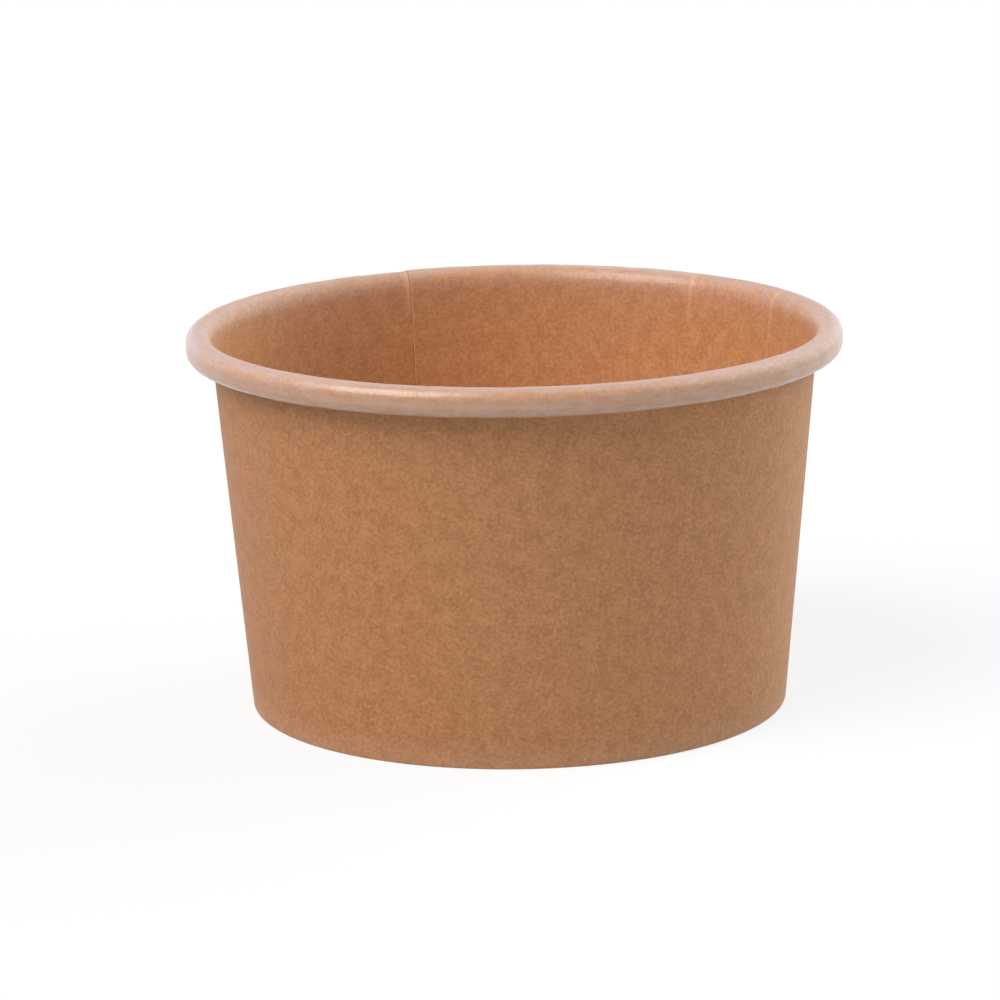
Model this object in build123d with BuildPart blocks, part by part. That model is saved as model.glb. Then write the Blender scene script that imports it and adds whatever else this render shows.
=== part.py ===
# Paper ice cream tub: a wrapped, lapped and rolled paper sidewall, and a paper base held in its hem.
# Lengths are in millimetres and angles in degrees. The tub stands on Z = 0, centred on the Z axis.
from build123d import *

import os
from math import acos, atan2, cos, degrees, hypot, radians, sin, tan

# Overall sizes
rim_diameter = 90.0  # over the rolled rim
base_diameter = 74.0  # over the wall, where its outside meets the table
height = 53.0  # from the table to the top of the rim

# Paper
wall_thickness = 0.42
base_thickness = 0.38
seal_film = 0.02  # coating that melts between two sealed faces

# Rolled rim
roll_width = 3.9  # across the roll, with the wall that it starts from
roll_flat = 0.4  # straight stretch down the outside of the roll
roll_gap = 0.2  # between the wall and the edge that comes back to it inside the roll
roll_tuck_angle = 80.0  # how far that edge turns up again from the underside of the roll
roll_quarter_steps = 3  # creases in each quarter turn of the roll
roll_tuck_steps = 2  # creases in that last turn

# Side seam
seam_angle = 111.0  # where the inner edge of the lap stands, counter-clockwise from +X
lap_width = 7.0  # overlap of the blank's two ends, measured at the foot
lap_press = 0.06  # what the sealed lap loses of its two thicknesses
lap_end_gap = 0.2  # between the top of the lap's outer layer and the underside of the roll

# Foot
floor_height = 5.6  # from the table to the underside of the base
hem_headroom = 1.2  # from the free edge of the hem up to the underside of the base
skirt_foot_gap = 0.25  # between the lower edge of the base's skirt and the fold that it stands in

# Slope of the wall, which runs from the foot into the inner side of the roll, along a tangent
roll_radius = roll_width / 2
roll_centre = Vector(rim_diameter / 2 - roll_radius, height - roll_radius)
foot_point = Vector(base_diameter / 2, 0)
foot_to_roll = roll_centre - foot_point
slope = degrees(
    acos((roll_radius - wall_thickness) / hypot(foot_to_roll.X, foot_to_roll.Y))
    - atan2(foot_to_roll.Y, foot_to_roll.X)
)
lean, rise = sin(radians(slope)), cos(radians(slope))
up_wall = Vector(lean, rise)
off_wall = Vector(rise, -lean)

# Spiral of the wrap: one turn carries the blank outwards by one pressed thickness
climb = wall_thickness - lap_press
lap_angle = degrees(lap_width / foot_point.X)
cos_seam, sin_seam = cos(radians(seam_angle)), sin(radians(seam_angle))
seam_plane = Plane(origin=(0, 0, 0), x_dir=(cos_seam, sin_seam, 0), z_dir=(sin_seam, -cos_seam, 0))
outer_turn_axis = Axis(origin=seam_plane.from_local_coords((climb / 2, 0)), direction=(0, 0, 1))


def wall_line_at(level, inset):
    """Point at a level above the table on the line that lies inset inside the wall's outer face."""
    start = foot_point - off_wall * inset
    return start + up_wall * ((level - start.Y) / rise)


def toward(angle):
    """Unit direction at an angle from the sketch's first axis."""
    return Vector(cos(radians(angle)), sin(radians(angle)))


def bend(radius, turn, steps):
    """Runs of a round bend, drawn as equal creases: its flats touch a circle of this radius."""
    step = turn / steps
    half_flat = radius * tan(radians(abs(step) / 2))
    return [(half_flat, step)] + [(2 * half_flat, step)] * (steps - 1) + [(half_flat, 0)]


def strip_face(start, heading, runs, offset):
    """Corners of one face of a paper strip, which lies to the left of its centre line by offset.

    The centre line starts at a point with a heading. Each run is a length and the turn to the left at its end.
    """
    corners = [start + toward(heading + 90) * offset]
    end = start
    for length, turn in runs:
        end = end + toward(heading) * length
        if turn != 0:
            mitre = offset / cos(radians(turn / 2))
            corners.append(end + toward(heading + 90 + turn / 2) * mitre)
            heading = heading + turn
    return corners + [end + toward(heading + 90) * offset]


def paper_strip(start, heading, runs, thickness):
    """Corners of the section of a folded paper strip, along its left face and back along its right one."""
    left_face = strip_face(start, heading, runs, thickness / 2)
    right_face = strip_face(start, heading, runs, -thickness / 2)
    return left_face + right_face[::-1]


# Hem: the foot of the wall turns in and up again around the base's skirt
hem_gap = base_thickness + climb + 2 * seal_film
hem_inset = wall_thickness + hem_gap + wall_thickness / 2
outer_fold = wall_line_at(wall_thickness / 2, wall_thickness / 2)
inner_fold = wall_line_at(wall_thickness / 2, hem_inset)
hem_end = wall_line_at(floor_height - hem_headroom, hem_inset)
hem_length = (hem_end - inner_fold).length
foot_width = outer_fold.X - inner_fold.X

# Rim: the wall rolls outwards over the top and down, then tighter, back in under itself
outer_roll_radius = roll_radius - wall_thickness / 2
inner_roll_radius = outer_roll_radius - (wall_thickness + roll_gap) / 2
roll_start = roll_centre - off_wall * outer_roll_radius
wall_length = (roll_start - outer_fold).length
roll_underside = roll_centre.Y - roll_flat - inner_roll_radius - wall_thickness / 2
lap_length = (roll_underside - lap_end_gap - outer_fold.Y) / rise

hem_runs = [(hem_length, 90 + slope), (foot_width, 90 - slope), (wall_length, 0)]
roll_runs = (
    bend(outer_roll_radius, slope - 90, roll_quarter_steps)
    + bend(outer_roll_radius, -90, roll_quarter_steps)
    + [(roll_flat, 0)]
    + bend(inner_roll_radius, -90, roll_quarter_steps)
    + bend(inner_roll_radius, -roll_tuck_angle, roll_tuck_steps)
)
wrap_runs = hem_runs + roll_runs
lap_runs = [(foot_width, 90 - slope), (lap_length, 0)]
down_hem = -90 - slope
one_layer_out = Vector(climb, 0)

with BuildPart() as sidewall:
    # First half turn, clockwise from the inner edge of the lap
    with BuildSketch(seam_plane):
        with BuildLine():
            Polyline(*paper_strip(hem_end, down_hem, wrap_runs, wall_thickness), close=True)
        make_face()
    revolve(axis=Axis.Z, revolution_arc=-180)
    # Second half turn, about a shifted centre, so that it comes back to the seam one layer further out
    with BuildSketch(seam_plane):
        with BuildLine():
            Polyline(*paper_strip(hem_end + one_layer_out, down_hem, wrap_runs, wall_thickness), close=True)
        make_face()
    revolve(axis=outer_turn_axis, revolution_arc=180)
    # Outer layer of the lap, sealed over the first turn and ending under the roll
    with BuildSketch(seam_plane):
        with BuildLine():
            Polyline(*paper_strip(inner_fold + one_layer_out, 0, lap_runs, wall_thickness), close=True)
        make_face()
    revolve(axis=Axis.Z, revolution_arc=-lap_angle)

# Base: a disc whose edge turns down into a skirt, which the hem holds against the wall
skirt_inset = wall_thickness + seal_film + base_thickness / 2
floor_centre = Vector(0, floor_height + base_thickness / 2)
floor_edge = wall_line_at(floor_centre.Y, skirt_inset)
skirt_end = wall_line_at(wall_thickness + skirt_foot_gap, skirt_inset)
base_runs = [(floor_edge.X, -90 - slope), ((floor_edge - skirt_end).length, 0)]

with BuildPart() as base:
    with BuildSketch(Plane.XZ):
        with BuildLine():
            Polyline(*paper_strip(floor_centre, 0, base_runs, base_thickness), close=True)
        make_face()
    revolve(axis=Axis.Z)

sidewall.part.label = "sidewall"
base.part.label = "base"

os.makedirs("parts", exist_ok=True)
export_step(sidewall.part, "parts/sidewall.step")
export_step(base.part, "parts/base.step")
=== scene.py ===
"""Paper ice cream tub, seen from the front and a little above.

The sidewall is one blank of kraft board. Its folded section is carried once round the tub and on past its
own start, one layer further out, as the real blank is wrapped, so the lap, the rolled rim and the hem are
one sheet. The base is a disc of board with a turned-down skirt. Lengths are in metres and angles in
radians.
"""

import bpy
import numpy as np
from mathutils import Matrix, Vector


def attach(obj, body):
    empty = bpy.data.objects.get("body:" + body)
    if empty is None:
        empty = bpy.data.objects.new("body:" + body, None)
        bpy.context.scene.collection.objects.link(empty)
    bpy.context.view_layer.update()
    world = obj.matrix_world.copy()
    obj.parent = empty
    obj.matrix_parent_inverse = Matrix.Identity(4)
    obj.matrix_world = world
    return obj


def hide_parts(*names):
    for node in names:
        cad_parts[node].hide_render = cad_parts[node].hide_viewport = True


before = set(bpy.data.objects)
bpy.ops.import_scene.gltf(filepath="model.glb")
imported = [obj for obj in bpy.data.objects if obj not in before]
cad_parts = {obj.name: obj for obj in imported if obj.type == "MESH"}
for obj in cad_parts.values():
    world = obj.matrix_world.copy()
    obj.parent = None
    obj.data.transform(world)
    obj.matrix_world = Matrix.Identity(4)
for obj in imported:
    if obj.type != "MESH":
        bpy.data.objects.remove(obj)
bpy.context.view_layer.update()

MM = 0.001
TURN = 2 * np.pi
QUARTER_TURN = np.pi / 2

# Sizes of the tub
rim_radius = 45.0 * MM
foot_radius = 37.0 * MM
height = 53.0 * MM
wall_thickness = 0.42 * MM
base_thickness = 0.38 * MM
seal_film = 0.02 * MM

# Rolled rim: the wall flares into its inner side, curls tighter over the top, and tucks in under itself
roll_radius = 1.95 * MM
roll_height = 4.0 * MM
flare_length = 4.3 * MM
tuck_radius = 1.44 * MM
roll_tuck = np.radians(80)

# Side seam: the blank starts at the seam, runs clockwise round the tub and ends outside its own start
seam_angle = np.radians(111)
lap_width = 7.0 * MM
layer_step = 0.36 * MM
pressed_thickness = 0.35 * MM
lap_angle = lap_width / foot_radius
wrap_end = TURN + lap_angle

# Foot: the hem's inset is to the middle of its own layer
floor_height = 5.6 * MM
hem_headroom = 1.2 * MM
skirt_end_height = 2.0 * MM
fold_radius = 0.27 * MM
hem_gap = base_thickness + layer_step + 2 * seal_film
hem_inset = wall_thickness * 1.5 + hem_gap

# Slope of the wall, from the foot to the inner side of the roll
roll_centre = np.array([rim_radius - roll_radius, height - roll_radius])
foot_point = np.array([foot_radius, 0.0])
foot_to_roll = roll_centre - foot_point
roll_bearing = np.arctan2(foot_to_roll[1], foot_to_roll[0])
slope = np.arccos((roll_radius - wall_thickness) / np.hypot(*foot_to_roll)) - roll_bearing
up_wall = np.array([np.sin(slope), np.cos(slope)])
off_wall = np.array([np.cos(slope), -np.sin(slope)])


# Shapes

cut_edge_angle = np.radians(50)


def smooth(value, low, high):
    """0 below low, 1 above high, and between them three times the way squared minus twice the way cubed."""
    way = np.clip((value - low) / (high - low), 0, 1)
    return way * way * (3 - 2 * way)


def hump(value, centre, width):
    """Bell curve: e to the minus half the square of the distance from the centre over the width."""
    return np.exp(-0.5 * ((value - centre) / width) ** 2)


def wall_line_at(level, inset):
    """Point (r, z) at a level on the straight line parallel to the wall, inset from its outer face."""
    start = foot_point - off_wall * inset
    return start + up_wall * ((level - start[1]) / up_wall[1])


def folded_line(start, heading, runs):
    """Centre line of a bent strip of board.

    Returns its (r, z) points, their headings, their distances along the strip, and the numbers of the points
    where its runs end. A run is a length, a turn and a number of steps. The heading turns evenly along a
    run, so a run that turns is an arc. A step's chord is the step's length times the sine of half its
    turn over that half, along its mean heading.
    """
    lengths, turns, steps = np.array(runs).T
    steps = steps.astype(int)
    step_length = np.repeat(lengths / steps, steps)
    step_turn = np.repeat(turns / steps, steps)
    headings = heading + np.concatenate([[0], np.cumsum(step_turn)])
    mean_heading = headings[:-1] + step_turn / 2
    chord = step_length * np.sinc(step_turn / TURN)
    moves = chord[:, None] * np.stack([np.cos(mean_heading), np.sin(mean_heading)], axis=1)
    points = start + np.concatenate([np.zeros((1, 2)), np.cumsum(moves, axis=0)])
    return points, headings, np.concatenate([[0], np.cumsum(step_length)]), np.cumsum(steps)


def arc(radius, turn, steps):
    """Run of a bend with a radius at the board's centre line."""
    return (radius * abs(turn), turn, steps)


def strip_outline(points, headings, shift, thickness, film):
    """Closed outline of a bent strip for each column: up its left face, then back down its right face.

    Each face lies half a thickness from the centre line, along the line's normal. The shift moves both to
    the right, and film is added to the left one.
    """
    left = np.stack([-np.sin(headings), np.cos(headings)], axis=1)
    left_face = points + left * (thickness / 2 - shift + film)[..., None]
    right_face = points - left * (thickness / 2 + shift)[..., None]
    return np.concatenate([left_face, right_face[:, ::-1]], axis=1)


def both_faces(values):
    """Values at a strip's stations in the order of its outline: up the left face, back down the right."""
    return np.concatenate([values, values[:, ::-1]], axis=1)


def carried_round(outline, azimuths):
    """Outline (r, z) carried round the Z axis: r times each azimuth's cosine, r times its sine, and z."""
    radius, level = outline[..., 0], outline[..., 1]
    return np.stack([radius * np.cos(azimuths), radius * np.sin(azimuths), level], axis=-1)


def grid_quads(columns, rows, close_columns):
    """Corner numbers of the quads between neighbouring columns of a grid whose rows close on themselves."""
    column = np.arange(columns if close_columns else columns - 1)[:, None]
    row = np.arange(rows)[None, :]
    beside, above = (column + 1) % columns, (row + 1) % rows
    corners = [column * rows + row, column * rows + above, beside * rows + above, beside * rows + row]
    return np.stack(corners, axis=-1).reshape(-1, 4)


def make_piece(name, points, faces, finish_of_face, maps, marks):
    """Mesh object with smooth faces and sharp cut edges, a finish for each face, flat maps and marks.

    A map gives each vertex a place on the flat board, and a mark gives it one number that the finishes read.
    """
    mesh = bpy.data.meshes.new(name)
    mesh.from_pydata(points.reshape(-1, 3), [], faces)
    mesh.polygons.foreach_set("material_index", finish_of_face.astype(np.int32))
    mesh.polygons.foreach_set("use_smooth", np.ones(len(faces), dtype=bool))
    corner_vertex = np.empty(len(mesh.loops), dtype=np.int32)
    mesh.loops.foreach_get("vertex_index", corner_vertex)
    for map_name, places in maps.items():
        layer = mesh.uv_layers.new(name=map_name)
        layer.uv.foreach_set("vector", places.reshape(-1, 2)[corner_vertex].ravel())
    for mark_name, values in marks.items():
        attribute = mesh.attributes.new(mark_name, "FLOAT", "POINT")
        attribute.data.foreach_set("value", values.ravel())
    for finish in finishes:
        mesh.materials.append(finish)
    mesh.set_sharp_from_angle(angle=cut_edge_angle)
    mesh.validate()
    piece = bpy.data.objects.new(name, mesh)
    bpy.context.scene.collection.objects.link(piece)
    return piece


# Shader nodes

def node(tree, kind, inputs=(), **settings):
    """New shader node with its settings, and with its inputs set to a value or linked to an output."""
    made = tree.nodes.new("ShaderNode" + kind)
    for name, value in settings.items():
        setattr(made, name, value)
    for name, value in dict(inputs).items():
        if isinstance(value, bpy.types.NodeSocket):
            tree.links.new(value, made.inputs[name])
        else:
            made.inputs[name].default_value = value
    return made


def maths(tree, operation, *values):
    """Output of a Math node."""
    return node(tree, "Math", enumerate(values), operation=operation).outputs[0]


def mixed(tree, amount, first, second):
    """Colour mixed from a first to a second one by an amount from 0 to 1."""
    return node(tree, "Mix", {0: amount, 6: first, 7: second}, data_type="RGBA").outputs[2]


def between(tree, value, low, high):
    """0 below low, 1 above high and a smooth step between them, or the reverse where low is above high."""
    inputs = {"Value": value, "From Min": low, "From Max": high}
    return node(tree, "MapRange", inputs, interpolation_type="SMOOTHSTEP").outputs["Result"]


def board_places(tree, map_name):
    """Places on one of a piece's maps, in millimetres."""
    places = node(tree, "UVMap", uv_map=map_name).outputs["UV"]
    return node(tree, "VectorMath", {0: places, "Scale": 1 / MM}, operation="SCALE").outputs["Vector"]


def mark(tree, name):
    """Number that a piece's mark gives."""
    return node(tree, "Attribute", attribute_name=name).outputs["Fac"]


def cloud(tree, places, grain, detail, roughness):
    """Soft noise from 0 to 1, whose patches are about a grain wide."""
    inputs = {"Vector": places, "Scale": 1 / grain, "Detail": detail, "Roughness": roughness}
    return node(tree, "TexNoise", inputs, noise_dimensions="2D").outputs["Fac"]


def fibres(tree, places, spacing, width, curl, share, offset):
    """Short curved fibres, one in a share of the cells of a Voronoi pattern.

    The place in a cell, measured from its centre, is turned by the cell's own random angle. The fibre is
    where the distance across, plus curl times the square of the distance along, is under its half width.
    It fades out along its length between two shares of the cell's spacing.
    """
    moved = node(tree, "VectorMath", {0: places, 1: (offset, offset, 0)}, operation="ADD").outputs["Vector"]
    cells = node(tree, "TexVoronoi", {"Vector": moved, "Scale": 1 / spacing}, voronoi_dimensions="2D")
    chance = node(tree, "SeparateColor", {"Color": cells.outputs["Color"]})
    from_centre = node(tree, "VectorMath", {0: moved, 1: cells.outputs["Position"]}, operation="SUBTRACT")
    angle = maths(tree, "MULTIPLY", chance.outputs["Red"], TURN)
    rotation = {"Vector": from_centre.outputs["Vector"], "Angle": angle}
    turned = node(tree, "VectorRotate", rotation, rotation_type="Z_AXIS")
    place = node(tree, "SeparateXYZ", {"Vector": turned.outputs["Vector"]})
    along, across = place.outputs["X"], place.outputs["Y"]
    bow = maths(tree, "MULTIPLY_ADD", maths(tree, "MULTIPLY", along, along), curl, across)
    beside = between(tree, maths(tree, "ABSOLUTE", bow), width / 2, 0.0)
    fade_end, fade_start = spacing * fibre_end_share, spacing * fibre_fade_share
    within = between(tree, maths(tree, "ABSOLUTE", along), fade_end, fade_start)
    present = between(tree, chance.outputs["Green"], 1 - share, 1.0)
    return maths(tree, "MULTIPLY", maths(tree, "MULTIPLY", beside, within), present)


def kraft_colour(tree, places, dark, light, pale_share, dark_share):
    """Colour of kraft board: cloudy pulp between a dark and a light brown, with pale and dark fibres in it.

    Also returns the pale fibres and the pulp, which the relief and the roughness follow.
    """
    fine = maths(tree, "MULTIPLY", cloud(tree, places, *fine_pulp), fine_pulp_share)
    pulp = maths(tree, "MULTIPLY_ADD", cloud(tree, places, *coarse_pulp), coarse_pulp_share, fine)
    pale = maths(tree, "MAXIMUM", *[fibres(tree, places, *kind) for kind in pale_fibres])
    dim = maths(tree, "MAXIMUM", *[fibres(tree, places, *kind) for kind in dark_fibres])
    colour = mixed(tree, between(tree, pulp, *cloud_range), dark, light)
    colour = mixed(tree, maths(tree, "MULTIPLY", pale, pale_share), colour, pale_fibre)
    return mixed(tree, maths(tree, "MULTIPLY", dim, dark_share), colour, dark_fibre), pale, pulp


def raised(tree, shader, relief, strength):
    """Normal of a relief, which is given in shares of its depth, linked to a shader."""
    bump = node(tree, "Bump", {"Height": relief, "Strength": strength, "Distance": relief_depth})
    tree.links.new(bump.outputs["Normal"], shader.inputs["Normal"])
    return bump.outputs["Normal"]


def srgb(red, green, blue):
    """Linear colour of screen values from 0 to 255: a straight line for the darkest, then a power of 2.4."""
    value = np.array([red, green, blue]) / 255
    linear = np.where(value <= 0.04045, value / 12.92, ((value + 0.055) / 1.055) ** 2.4)
    return (*linear.tolist(), 1.0)


# Finishes

# Colours of the board, its film and its cut edges, and colours mixed in for painted light, shade and pale
# marks
kraft_dark = srgb(162, 107, 67)
kraft_light = srgb(185, 129, 85)
inner_dark = srgb(189, 129, 85)
inner_light = srgb(213, 154, 107)
pale_fibre = srgb(218, 170, 130)
dark_fibre = srgb(118, 74, 44)
# Painted reflection on the roll, mixed with the film's own milkiness
milk_and_sheen_pale = srgb(194, 170, 166)
# Painted shade for the crest and the underside of the roll
painted_shade_brown = srgb(163, 118, 85)
# Paler along the creases, and a painted highlight beside the seam
crease_and_glint_pale = srgb(244, 190, 150)
# Paler towards the fold of the foot
foot_pale_colour = srgb(216, 190, 170)
# Painted shade for the seam's corner
seam_dark = srgb(92, 58, 38)
cut_pale = srgb(216, 176, 144)
cut_dark = srgb(190, 142, 106)

# Clouds: grain in millimetres, detail and roughness
coarse_pulp = (2.4, 3.0, 0.7)
fine_pulp = (0.55, 2.0, 0.6)
bare_nap = (0.25, 3.0, 0.7)
filmed_nap = (0.3, 2.0, 0.6)
film_streaks = (1.1, 3.0, 0.65)
coarse_pulp_share = 0.45
fine_pulp_share = 0.55
cloud_range = (0.3, 0.7)

# Fibres: spacing and width in millimetres, curl, share of the cells that hold one, and offset of the pattern
pale_fibres = [(1.3, 0.16, 0.25, 0.6, 0.0), (0.8, 0.16, -0.3, 0.5, 37.3)]
dark_fibres = [(1.0, 0.18, 0.3, 0.5, 71.9), (0.7, 0.3, 0.0, 0.4, 113.1)]
fibre_end_share = 0.5
fibre_fade_share = 0.3

# Bare side: shares of the pale and dark fibres, their lift, its roughness with the pulp, and its relief
bare_fibre_shares = (0.35, 0.35)
bare_fibre_lift = 0.6
bare_roughness = 0.6
bare_roughness_spread = 0.2
bare_relief = 0.5

# Film side: the same, and the film's streaks along the roll, its wrinkles, and its least milkiness and coat
filmed_fibre_shares = (0.4, 0.15)
filmed_fibre_lift = 0.3
filmed_roughness = 0.5
filmed_roughness_spread = 0.15
filmed_relief = 0.7
streak_scale = (0.35, 1.0, 1.0)
wrinkle_lift = 2.0
least_milkiness = 0.2
least_coat = 0.35

# Cut edges, and the depth of every relief
cut_grain = 0.3 * MM
cut_relief = 0.5
relief_depth = 0.03 * MM


def new_finish(name):
    """New material, its node tree and its shader."""
    material = bpy.data.materials.new(name)
    material.use_nodes = True
    return material, material.node_tree, material.node_tree.nodes["Principled BSDF"]


def bare_kraft():
    """Uncoated side of the board: matt, cloudy and fibrous, with a faint nap, and paler at the foot's fold.
    """
    material, tree, shader = new_finish("bare_kraft")
    places = board_places(tree, "blank")
    colour, pale, pulp = kraft_colour(tree, places, kraft_dark, kraft_light, *bare_fibre_shares)
    # Paler towards the fold of the foot
    tree.links.new(mixed(tree, mark(tree, "foot_pale"), colour, foot_pale_colour), shader.inputs["Base Color"])
    nap = maths(tree, "MULTIPLY_ADD", pale, bare_fibre_lift, cloud(tree, places, *bare_nap))
    raised(tree, shader, nap, bare_relief)
    roughness = maths(tree, "MULTIPLY_ADD", pulp, bare_roughness_spread, bare_roughness)
    tree.links.new(roughness, shader.inputs["Roughness"])
    shader.inputs["Specular IOR Level"].default_value = 0.3
    shader.inputs["Sheen Weight"].default_value = 0.08
    shader.inputs["Sheen Roughness"].default_value = 0.4
    return material


def filmed_kraft():
    """Side of the board under a thin clear film: a soft gloss, paled by milkiness and by a painted
    reflection.

    The milky streaks and the fine wrinkles of the film run along the roll. Painted shade darkens the
    crest, the roll's underside and the seam's corner, and painted highlights lie on the flare and by the
    seam.
    """
    material, tree, shader = new_finish("filmed_kraft")
    places = board_places(tree, "blank")
    colour, pale, pulp = kraft_colour(tree, places, inner_dark, inner_light, *filmed_fibre_shares)
    around = {"Vector": board_places(tree, "wrap"), "Scale": streak_scale}
    streak = cloud(tree, node(tree, "Mapping", around).outputs["Vector"], *film_streaks)
    milkiness = between(tree, streak, *cloud_range)
    milkiness = maths(tree, "MULTIPLY_ADD", milkiness, 1 - least_milkiness, least_milkiness)
    # The film's milkiness and a painted reflection over the roll
    milk_and_sheen_amount = maths(tree, "MULTIPLY", mark(tree, "milk_and_sheen"), milkiness)
    # Painted shade at the crest and under the roll
    colour = mixed(tree, mark(tree, "roll_painted_shade"), colour, painted_shade_brown)
    colour = mixed(tree, milk_and_sheen_amount, colour, milk_and_sheen_pale)
    # Paler along the creases, with a painted highlight beside the seam
    colour = mixed(tree, mark(tree, "crease_and_glint"), colour, crease_and_glint_pale)
    # Painted shade in the seam's corner
    colour = mixed(tree, mark(tree, "seam_shade"), colour, seam_dark)
    tree.links.new(colour, shader.inputs["Base Color"])
    nap = maths(tree, "MULTIPLY_ADD", pale, filmed_fibre_lift, cloud(tree, places, *filmed_nap))
    wrinkle = maths(tree, "MULTIPLY", maths(tree, "MULTIPLY", streak, mark(tree, "rolled")), wrinkle_lift)
    normal = raised(tree, shader, maths(tree, "ADD", nap, wrinkle), filmed_relief)
    tree.links.new(normal, shader.inputs["Coat Normal"])
    roughness = maths(tree, "MULTIPLY_ADD", pulp, filmed_roughness_spread, filmed_roughness)
    tree.links.new(roughness, shader.inputs["Roughness"])
    coat = maths(tree, "MULTIPLY_ADD", mark(tree, "glossy"), 1 - least_coat, least_coat)
    tree.links.new(coat, shader.inputs["Coat Weight"])
    shader.inputs["Specular IOR Level"].default_value = 0.3
    shader.inputs["Coat Roughness"].default_value = 0.23
    shader.inputs["Coat IOR"].default_value = 1.5
    return material


def cut_board():
    """Cut edge of the board: pale and rough."""
    material, tree, shader = new_finish("cut_board")
    places = node(tree, "TexCoord").outputs["Object"]
    grain = node(tree, "TexNoise", {"Vector": places, "Scale": 1 / cut_grain, "Detail": 3.0}).outputs["Fac"]
    colour = mixed(tree, between(tree, grain, *cloud_range), cut_dark, cut_pale)
    tree.links.new(colour, shader.inputs["Base Color"])
    raised(tree, shader, grain, cut_relief)
    shader.inputs["Roughness"].default_value = 0.85
    return material


finishes = [bare_kraft(), filmed_kraft(), cut_board()]
BARE, FILMED, CUT = range(3)

# Places of the patterns on the flat board: the film side's and the base's lie away from the bare sidewall's
film_place = 0.7
base_place = 0.3


# Sidewall

# Steps of the section's runs, from the hem's free edge to the edge that is tucked into the roll
hem_steps = 6
inner_fold_steps = 7
foot_steps = 1
outer_fold_steps = 6
wall_steps = 14
flare_steps = 16
curl_steps = 12
roll_side_steps = 2
roll_underside_steps = 9
tuck_steps = 7

# Columns of the wrap
even_columns = 481
end_places = np.array([0.03, 0.08, 0.16, 0.3, 0.45]) * MM
seam_columns = 25
seam_band = 2.4 * MM
seam_reach = 0.01 * MM
crease_columns = 15
crease_band = 0.9 * MM

# Lap: how the board is led out to its second layer, lifted in the foot, pressed and worn at its cut ends
foot_levels = np.array([0.3, 1.7]) * MM
lead_out_angle = 0.9
roll_step_length = 0.3 * MM
roll_step_share = 0.6
lift_fall_angle = 0.2
press_fall_angle = 0.1
press_rise_angles = (0.06, 0.02)
end_wear_share = 0.35
end_wear_length = 0.08 * MM

# Waves of the wall and of the roll
wave_seed = 11
wall_waves = np.arange(2, 9)
wall_wave_depth = 0.05 * MM
belly_start_levels = np.array([2.0, 20.0]) * MM
belly_end_levels = np.array([40.0, 50.0]) * MM
roll_waves = np.arange(9, 60)
roll_wave_depth = 0.015 * MM

# Knurls of the hem
knurl_count = 120
knurl_depth = 0.05 * MM
knurl_levels = np.array([0.8, 1.6]) * MM

# Two creases of the film
crease_angles = np.radians([52.0, 28.0])
crease_widths = np.array([0.28, 0.3]) * MM
crease_heights = np.array([0.04, 0.03]) * MM
crease_marks = np.array([0.4, 0.3])
crease_starts = np.array([47.0, 44.5]) * MM
crease_length = 3.5 * MM

# Film at the seam: it fills the corner in part, and stands up in a lip beside it
corner_width = 0.45 * MM
corner_fill = 0.25
roll_corner_fill = 0.6
lip_place = 0.35 * MM
lip_width = 0.14 * MM
lip_height = 0.08 * MM
lip_levels = np.array([46.5, 49.5]) * MM

# Headings of the section: for the crest and its shade they count upwards, and for the others downwards
flare_headings = np.radians([-70, 0])
crest_headings = np.radians([8, 40])
curl_headings = np.radians([-10, 50])
crest_shade_headings = np.radians([-75, -20])
roll_shade_headings = np.radians([60, 105])

# Marks: milky film, painted reflection and highlights, painted shade in roll and seam, gloss, paler foot
# Levels and share of the film's milkiness and painted reflection
milk_and_sheen_levels = np.array([47.5, 52.0]) * MM
milk_and_sheen_share = 0.38
# Share of the film's paleness outside the band of the painted highlight
off_band_share = 0.6
outer_clearing = 0.2
# Azimuths of the band on the flare where a painted highlight whitens the film
highlight_band_angles = np.radians([51.5, 52.5, 70.0, 90.0])
# Painted highlight beside the seam
seam_glint_share = 0.4
seam_glint_place = 0.35 * MM
seam_glint_width = 0.35 * MM
seam_glint_levels = np.array([45.5, 48.5]) * MM
# Painted shade at the crest and under the roll
crest_shade = 0.6
roll_shade = 0.85
flare_gloss = 0.35
highlight_band_gloss = 0.4
# Painted shade in the seam's corner, less in the roll
corner_shade = 0.35
corner_shade_fall = 0.15
corner_shade_place = 0.04 * MM
corner_shade_width = 0.1 * MM
# Paler towards the fold of the foot
foot_pale_levels = np.array([0.3, 0.9]) * MM
foot_pale_share = 0.15


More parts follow.
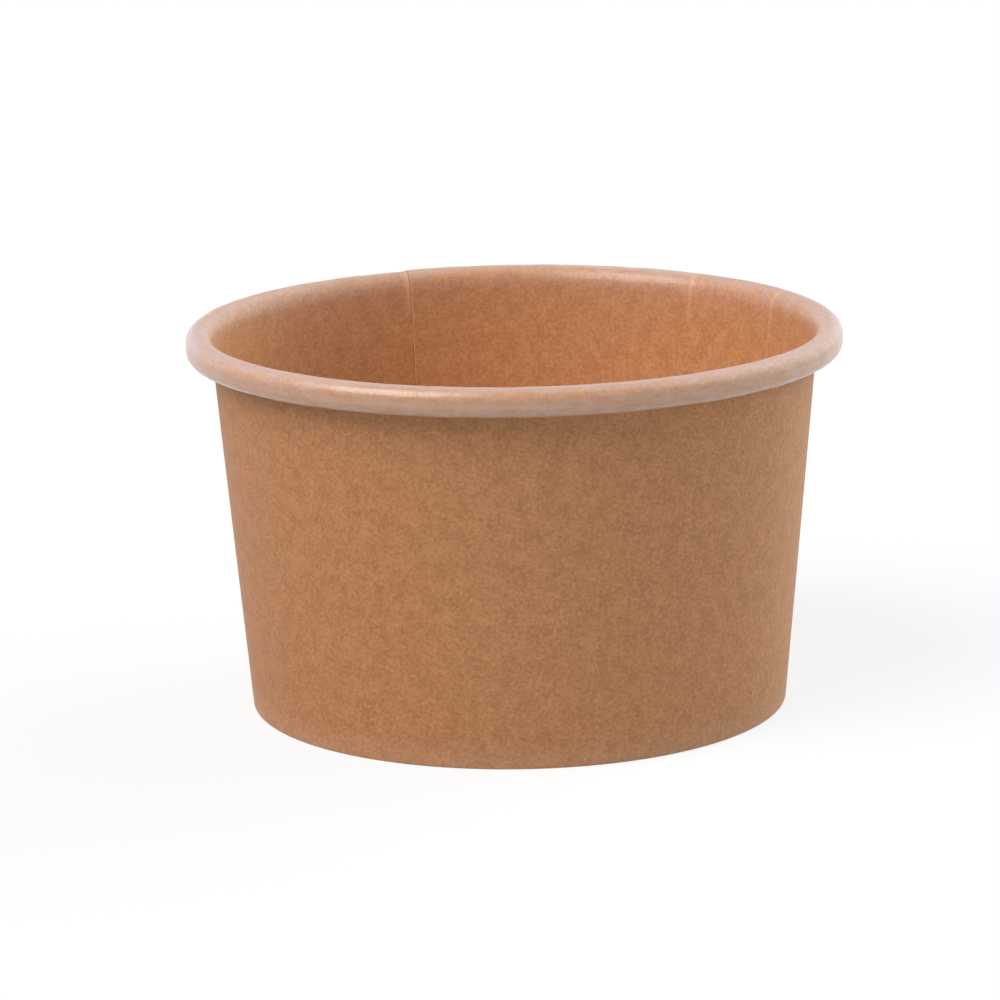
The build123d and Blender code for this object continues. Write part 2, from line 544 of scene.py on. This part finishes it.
def sidewall_section():
    """Centre line of the sidewall from the hem's free edge, round the fold, up the wall and round the roll.

    The wall flares into the roll: there its heading turns with the square of the way, so it bends
    ever tighter.
    """
    half = wall_thickness / 2
    outer_fold = wall_line_at(half, half)
    inner_fold = wall_line_at(half, hem_inset)
    hem_end = wall_line_at(floor_height - hem_headroom, hem_inset)
    inner_turn, outer_turn = QUARTER_TURN + slope, QUARTER_TURN - slope
    inner_cut, outer_cut = fold_radius * np.tan(inner_turn / 2), fold_radius * np.tan(outer_turn / 2)
    flare_turns = np.diff(np.linspace(0, 1, flare_steps + 1) ** 2) * (slope - QUARTER_TURN)
    flare = [(flare_length / flare_steps, turn, 1) for turn in flare_turns]
    flare_reach = folded_line(np.zeros(2), QUARTER_TURN - slope, flare)[0][-1]
    flare_start = wall_line_at(height - half - flare_reach[1], half)
    curl_radius = rim_radius - flare_start[0] - flare_reach[0]
    runs = [
        (np.hypot(*(hem_end - inner_fold)) - inner_cut, 0, hem_steps),
        arc(fold_radius, inner_turn, inner_fold_steps),
        (outer_fold[0] - inner_fold[0] - inner_cut - outer_cut, 0, foot_steps),
        arc(fold_radius, outer_turn, outer_fold_steps),
        (np.hypot(*(flare_start - outer_fold)) - outer_cut, 0, wall_steps),
        *flare,
        arc(curl_radius - half, -QUARTER_TURN, curl_steps),
        (roll_height - curl_radius - tuck_radius, 0, roll_side_steps),
        arc(tuck_radius - half, -QUARTER_TURN, roll_underside_steps),
        arc(tuck_radius - half, -roll_tuck, tuck_steps),
    ]
    return folded_line(hem_end, -QUARTER_TURN - slope, runs)


def wrap_columns():
    """Angles along the wrap: even ones, and closer ones at the cut ends, the seam and the creases.

    Beside the seam, the distance from it grows with the square of the column's number.
    """
    even = np.linspace(0, wrap_end, even_columns)
    near_end = end_places / rim_radius
    beside_seam = TURN - np.linspace(0, 1, seam_columns) ** 2 * seam_band / rim_radius
    behind_seam = TURN + 2 * seam_reach / rim_radius
    near_crease = np.linspace(-crease_band, crease_band, crease_columns) / rim_radius
    creases = (seam_angle - crease_angles[:, None] + near_crease).ravel()
    columns = [even, near_end, wrap_end - near_end, beside_seam, [behind_seam], creases]
    return np.unique(np.concatenate(columns))


# Grid of the sidewall: stations along its section, and columns round its wrap
section_points, section_headings, section_travel, run_ends = sidewall_section()
section_levels = section_points[:, 1]
hem_fold, wall_foot, roll_start = run_ends[[0, 3, 4]]
station = np.arange(len(section_travel))
wrap_angles = wrap_columns()[:, None]
wrap_azimuths = seam_angle - wrap_angles
sidewall_grid = (len(wrap_angles), len(station))

# What lies where on the grid
before_seam = (TURN - wrap_angles) * rim_radius
off_foot = smooth(section_levels, *foot_levels)
on_hem = station < hem_fold
on_roll = station > roll_start
in_roll = smooth(-section_headings, *flare_headings) * on_roll
inner_side = smooth(section_headings, *crest_headings) * ~on_hem
outer_side = smooth(-section_headings, *curl_headings) * on_roll


def led_out():
    """How far the board is led out to its second layer, from 0 to 1.

    The wall is led out slowly, and the roll mostly in a short step at the seam.
    """
    slowly = smooth(wrap_angles, TURN - lead_out_angle, TURN)
    in_a_step = smooth(wrap_angles, TURN - roll_step_length / rim_radius, TURN)
    return slowly + (in_a_step - slowly) * roll_step_share * in_roll


def layer_shift():
    """Shift of the board in the lap. On the wall and in the roll the end of the wrap lies outside its start.

    In the foot it lies below its start, so there the start is lifted instead.
    """
    lifted = 1 - smooth(wrap_angles, lap_angle, lap_angle + lift_fall_angle)
    return layer_step * (off_foot * led_out() - (1 - off_foot) * lifted)


def wave_shift():
    """Waves of the wall and of the roll: sums of sines round the tub.

    A wave of the wall is as high as one over its number, and one of the roll as one over its number's root.
    """
    draw = np.random.default_rng(wave_seed)
    wall_phase = draw.uniform(0, TURN, len(wall_waves))
    roll_phase = draw.uniform(0, TURN, len(roll_waves))
    wall_sines = np.sin(wrap_azimuths * wall_waves + wall_phase) / wall_waves
    roll_sines = np.sin(wrap_azimuths * roll_waves + roll_phase) / np.sqrt(roll_waves)
    wall_wave = wall_sines.sum(axis=1, keepdims=True)
    roll_wave = roll_sines.sum(axis=1, keepdims=True)
    belly = smooth(section_levels, *belly_start_levels) * (1 - smooth(section_levels, *belly_end_levels))
    wall_shift = wall_wave_depth * wall_wave * belly * ~on_hem
    return wall_shift + roll_wave_depth * (roll_wave - roll_wave.min()) * in_roll


def crease_ridges():
    """Ridge of each crease, from 0 to 1: a bell curve round the tub, from the wall up into the roll."""
    angle, width, start = (value[:, None, None] for value in (crease_angles, crease_widths, crease_starts))
    fade = smooth(section_levels, start, start + crease_length) * inner_side
    return hump(wrap_azimuths, angle, width / rim_radius) * fade


def knurl_shift():
    """Knurls of the hem: a sine round the tub, above the fold."""
    return knurl_depth * np.sin(knurl_count * wrap_azimuths) * on_hem * smooth(section_levels, *knurl_levels)


def seam_film():
    """Film that is squeezed into the corner of the seam, and stands up in a lip beside it at the rim."""
    corner = smooth(-before_seam, -corner_width, 0) * (before_seam > -seam_reach)
    fill = layer_step * off_foot * led_out() * corner * (corner_fill + roll_corner_fill * in_roll)
    lip = hump(before_seam, lip_place, lip_width) * smooth(section_levels, *lip_levels) * inner_side
    return fill + lip_height * lip


def board_thickness():
    """Thickness of each column: the board is pressed thinner in the lap, and its cut ends are a little worn.

    The wear goes with the square of one minus the way in from the cut.
    """
    before_press, full_press = (TURN - angle for angle in press_rise_angles)
    at_start = 1 - smooth(wrap_angles, lap_angle, lap_angle + press_fall_angle)
    in_lap = np.maximum(at_start, smooth(wrap_angles, before_press, full_press))
    pressed = wall_thickness + (pressed_thickness - wall_thickness) * in_lap
    from_end = np.minimum(wrap_angles, wrap_end - wrap_angles) * rim_radius
    return pressed * (1 - end_wear_share * (1 - np.clip(from_end / end_wear_length, 0, 1)) ** 2)


def sidewall_faces():
    """Corner numbers and finishes of the sidewall's quads: film side, bare side, cut edges and cut ends."""
    columns, stations = sidewall_grid
    rows = 2 * stations
    quads = grid_quads(columns, rows, close_columns=False)
    row_finish = np.full(rows, BARE)
    row_finish[: stations - 1] = FILMED
    row_finish[[stations - 1, rows - 1]] = CUT
    low = np.arange(stations - 1)
    start_end = np.stack([low, rows - 1 - low, rows - 2 - low, low + 1], axis=1)
    far_end = start_end[:, ::-1] + (columns - 1) * rows
    end_finish = np.full(2 * len(low), CUT)
    finish_of_quad = np.concatenate([np.tile(row_finish, columns - 1), end_finish])
    return np.concatenate([quads, start_end, far_end]), finish_of_quad


def sidewall_maps():
    """Places on the flat blank, and places round the rim and along the section.

    The flat blank is a fan. A place's radius is its distance from the cone's tip, and its angle is the
    wrap's angle times the sine of the slope.
    """
    travel = np.concatenate([section_travel, section_travel[::-1]])
    fan_radius = foot_radius / np.sin(slope) + travel - section_travel[wall_foot]
    fan_angle = wrap_angles * np.sin(slope)
    film_side = (np.arange(len(travel)) < len(station)) * film_place
    blank = np.stack([fan_radius * np.sin(fan_angle) + film_side, fan_radius * np.cos(fan_angle)], axis=-1)
    around = np.stack(np.broadcast_arrays(wrap_angles * rim_radius, travel), axis=-1)
    return {"blank": blank, "wrap": around}


def sidewall_marks(ridges):
    """Marks of the sidewall, from 0 to 1.

    The film is paled over the roll by its milkiness and by a painted reflection, and on the flare most in
    the band of a painted highlight. It is paler along the crease ridges, with a painted highlight beside
    the seam, and glossy over the roll and less so on the flare. The board under it is rolled, and painted
    shade darkens it at the crest and under the roll. Painted shade darkens the seam's corner, and the
    foot's fold is paler.
    """
    upper = smooth(section_levels, *milk_and_sheen_levels) * (station > wall_foot)
    # Band of the painted highlight on the flare, where the coat is glossier too
    start, full, fall, end = highlight_band_angles
    highlight_band = smooth(wrap_azimuths, start, full) * (1 - smooth(wrap_azimuths, fall, end))
    # The film's milkiness and a painted reflection, strongest in the band of the painted highlight
    haze_and_sheen = np.maximum(upper * (off_band_share + (1 - off_band_share) * highlight_band), outer_side)
    # Painted highlight beside the seam
    beside_seam = hump(before_seam, seam_glint_place, seam_glint_width) * (before_seam > 0)
    beside_seam = beside_seam * smooth(section_levels, *seam_glint_levels) * inner_side
    crease_and_glint = (crease_marks[:, None, None] * ridges).max(axis=0)
    # Painted shade at the crest and under the roll
    roll_painted_shade = crest_shade * smooth(section_headings, *crest_shade_headings) * in_roll
    gloss = np.maximum(outer_side, flare_gloss * upper * inner_side)
    # Painted shade in the seam's corner
    corner = hump(before_seam, corner_shade_place, corner_shade_width) * (before_seam > -seam_reach)
    marks = {
        "milk_and_sheen": milk_and_sheen_share * haze_and_sheen * (1 - outer_clearing * outer_side),
        "crease_and_glint": crease_and_glint + seam_glint_share * beside_seam,
        "rolled": in_roll,
        "roll_painted_shade": roll_painted_shade + roll_shade * smooth(-section_headings, *roll_shade_headings) * on_roll,
        "glossy": np.maximum(gloss, highlight_band_gloss * highlight_band) * on_roll,
        "foot_pale": foot_pale_share * (1 - smooth(section_levels, *foot_pale_levels)) * ~on_hem,
        "seam_shade": corner * (corner_shade - corner_shade_fall * in_roll),
    }
    return {name: both_faces(np.broadcast_to(values, sidewall_grid)) for name, values in marks.items()}


def make_sidewall():
    """Wrapped blank: the section carried clockwise from the seam by one turn and the lap.

    Its layers, waves, creases and knurls shift the board along its own normal.
    """
    ridges = crease_ridges()
    creases = (crease_heights[:, None, None] * ridges).sum(axis=0)
    shift = layer_shift() + wave_shift() - creases + knurl_shift()
    outline = strip_outline(section_points, section_headings, shift, board_thickness(), seam_film())
    vertices = carried_round(outline, wrap_azimuths)
    quads, finish_of_quad = sidewall_faces()
    piece = make_piece("sidewall", vertices, quads, finish_of_quad, sidewall_maps(), sidewall_marks(ridges))
    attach(piece, "root")
    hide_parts("sidewall")


# Base

base_columns = 240
floor_steps = 24
skirt_bend_steps = 9
skirt_steps = 4
skirt_bend_radius = 0.55 * MM
base_sag = 0.25 * MM
centre_radius = 0.2 * MM


def make_base():
    """Disc of board with a turned-down skirt: its section carried once round the axis, and sagging a little.

    The sag falls with the square of the distance from the axis. A small polygon closes the centre on each
    side.
    """
    skirt_inset = wall_thickness + seal_film + base_thickness / 2
    centre_level = floor_height + base_thickness / 2
    floor_edge = wall_line_at(centre_level, skirt_inset)
    skirt_end = wall_line_at(skirt_end_height, skirt_inset)
    turn = QUARTER_TURN + slope
    cut = skirt_bend_radius * np.tan(turn / 2)
    runs = [
        (floor_edge[0] - cut - centre_radius, 0, floor_steps),
        arc(skirt_bend_radius, -turn, skirt_bend_steps),
        (np.hypot(*(floor_edge - skirt_end)) - cut, 0, skirt_steps),
    ]
    points, headings, travel, _ = folded_line(np.array([centre_radius, centre_level]), 0.0, runs)
    azimuths = (np.arange(base_columns) * TURN / base_columns)[:, None]
    sag = base_sag * np.clip(1 - (points[:, 0] / floor_edge[0]) ** 2, 0, 1)
    sag = sag * (points[:, 1] > centre_level - skirt_bend_radius)
    thickness = np.full((base_columns, 1), base_thickness)
    outline = strip_outline(points, headings, np.tile(sag, (base_columns, 1)), thickness, 0.0)
    vertices = carried_round(outline, azimuths)

    stations, rows = len(travel), 2 * len(travel)
    quads = grid_quads(base_columns, rows, close_columns=True)
    row_finish = np.full(rows, BARE)
    row_finish[: stations - 1] = FILMED
    row_finish[stations - 1] = CUT
    finish_of_quad = np.tile(row_finish, base_columns)
    open_row = np.tile(np.arange(rows) == rows - 1, base_columns)
    column = np.arange(base_columns)
    upper_centre = (column * rows).tolist()
    lower_centre = (column * rows + rows - 1)[::-1].tolist()
    faces = quads[~open_row].tolist() + [upper_centre, lower_centre]
    finish_of_face = np.concatenate([finish_of_quad[~open_row], [FILMED, BARE]])

    reach = centre_radius + np.concatenate([travel, travel[::-1]])
    film_side = (np.arange(rows) < stations) * film_place
    across = reach * np.cos(azimuths) + film_side + base_place
    along = reach * np.sin(azimuths) + base_place
    around = np.stack(np.broadcast_arrays(azimuths * foot_radius, reach), axis=-1)
    maps = {"blank": np.stack([across, along], axis=-1), "wrap": around}
    mark_names = ["milk_and_sheen", "crease_and_glint", "rolled", "roll_painted_shade", "glossy", "foot_pale", "seam_shade"]
    marks = dict.fromkeys(mark_names, np.zeros((base_columns, rows)))

    piece = make_piece("base", vertices, faces, finish_of_face, maps, marks)
    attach(piece, "root")
    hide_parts("base")


# Floor, light and camera

plain_white = (1.0, 1.0, 1.0, 1.0)

# Floor: how it looks, how it lights the tub, and the share of its look that is its own glow
floor_reach = 6.0
floor_seen = (0.95, 0.95, 0.95, 1.0)
floor_bounce = (0.84, 0.87, 0.9, 1.0)
floor_glow = 0.8

# Dome: it lights the tub a little, and reflections show it brighter overhead and dim on the camera's side
dome_tint = (0.87, 1.0, 1.18, 1.0)
dome_level = 0.15
horizon_level = 1.2
overhead_level = 2.5
overhead_reach = (0.3, 0.75)
room_level = 0.25
room_reach = (-0.55, -0.1)

# Lamps: colour, strength, bearing from the camera's side, elevation above the horizon, and softness
warm_white = (1.0, 0.975, 0.94)
cool_white = (0.88, 1.0, 1.0)
cold_white = (0.82, 0.96, 1.0)
key_lamp = (warm_white, 2.65, np.radians(-54), np.radians(47), np.radians(44))
fill_lamp = (cool_white, 1.7, np.radians(95), np.radians(23), np.radians(90))
edge_lamp = (cold_white, 1.8, np.radians(130), np.radians(17), np.radians(50))

camera_target = Vector((0, 0, 26.0 * MM))
camera_distance = 672.684 * MM
camera_elevation = np.radians(13.386)
camera_roll = np.radians(-0.909)
camera_lens = 175.178
camera_sensor = 36.0
camera_shift = (-0.016977, 0.013711)


def seen_directly(tree):
    """1 for what the camera sees by itself, mirrored or through glass, and 0 for what lights the tub."""
    path = node(tree, "LightPath")
    seen = maths(tree, "ADD", path.outputs["Is Camera Ray"], path.outputs["Is Glossy Ray"])
    return maths(tree, "MAXIMUM", seen, path.outputs["Is Transmission Ray"])


def make_floor():
    """Pale floor, a flat square round the tub's foot, which looks white and keeps a light shadow."""
    side = np.array([-floor_reach, floor_reach])
    corners = np.stack([*np.meshgrid(side, side), np.zeros((2, 2))], axis=-1)
    mesh = bpy.data.meshes.new("floor")
    mesh.from_pydata(corners.reshape(-1, 3), [], [(0, 1, 3, 2)])
    material = bpy.data.materials.new("pale_floor")
    material.use_nodes = True
    tree = material.node_tree
    seen = seen_directly(tree)
    matt = node(tree, "BsdfDiffuse", {"Color": mixed(tree, seen, floor_bounce, floor_seen)})
    glow = node(tree, "Emission", {"Color": plain_white, "Strength": 1.0})
    share = maths(tree, "MULTIPLY", seen, floor_glow)
    both = node(tree, "MixShader", {0: share, 1: matt.outputs["BSDF"], 2: glow.outputs["Emission"]})
    tree.links.new(both.outputs["Shader"], tree.nodes["Material Output"].inputs["Surface"])
    mesh.materials.append(material)
    floor = bpy.data.objects.new("floor", mesh)
    bpy.context.scene.collection.objects.link(floor)


def make_lamp(name, colour, strength, bearing, elevation, softness):
    """Broad soft lamp, which shines from its bearing and elevation towards the tub."""
    data = bpy.data.lights.new(name, "SUN")
    data.color = colour
    data.energy = strength
    data.angle = softness
    lamp = bpy.data.objects.new(name, data)
    sideways = np.cos(elevation)
    towards = Vector((np.sin(bearing) * sideways, -np.cos(bearing) * sideways, np.sin(elevation)))
    lamp.rotation_euler = towards.to_track_quat("Z", "Y").to_euler()
    bpy.context.scene.collection.objects.link(lamp)
    return lamp


def make_light():
    """Dim dome, a key lamp from the front left, a fill lamp from the right and one behind the right edge.

    The dome looks plain white. Reflections show it brighter overhead and dim on the camera's side, and of
    the lamps they show the key lamp alone.
    """
    world = bpy.data.worlds.new("white_dome")
    world.use_nodes = True
    tree = world.node_tree
    background = tree.nodes["Background"]
    path = node(tree, "LightPath")
    plain = maths(tree, "MAXIMUM", path.outputs["Is Camera Ray"], path.outputs["Is Transmission Ray"])
    tree.links.new(mixed(tree, plain, dome_tint, plain_white), background.inputs["Color"])
    direction = node(tree, "SeparateXYZ", {"Vector": node(tree, "TexCoord").outputs["Generated"]})
    overhead = between(tree, direction.outputs["Z"], *overhead_reach)
    above_horizon, above_room = overhead_level - horizon_level, horizon_level - room_level
    white = maths(tree, "MULTIPLY_ADD", overhead, above_horizon, above_room)
    outside_room = between(tree, direction.outputs["Y"], *room_reach)
    added = maths(tree, "MULTIPLY_ADD", outside_room, white, room_level - dome_level)
    level = maths(tree, "MULTIPLY_ADD", path.outputs["Is Glossy Ray"], added, dome_level)
    tree.links.new(maths(tree, "MAXIMUM", level, plain), background.inputs["Strength"])
    bpy.context.scene.world = world
    make_lamp("key", *key_lamp)
    make_lamp("fill", *fill_lamp).visible_glossy = False
    make_lamp("edge", *edge_lamp).visible_glossy = False


def make_camera():
    """Camera at the photograph's angle, turned a little about its own line of sight."""
    data = bpy.data.cameras.new("camera")
    data.sensor_width = camera_sensor
    data.lens = camera_lens
    data.shift_x, data.shift_y = camera_shift
    camera = bpy.data.objects.new("camera", data)
    back = Vector((0, -np.cos(camera_elevation), np.sin(camera_elevation)))
    tilt = Matrix.Rotation(QUARTER_TURN - camera_elevation, 4, "X")
    roll = Matrix.Rotation(camera_roll, 4, "Z")
    camera.matrix_world = Matrix.Translation(camera_target + back * camera_distance) @ tilt @ roll
    bpy.context.scene.collection.objects.link(camera)
    bpy.context.scene.camera = camera


make_sidewall()
make_base()
make_floor()
make_light()
make_camera()
bpy.context.scene.view_settings.view_transform = "Standard"
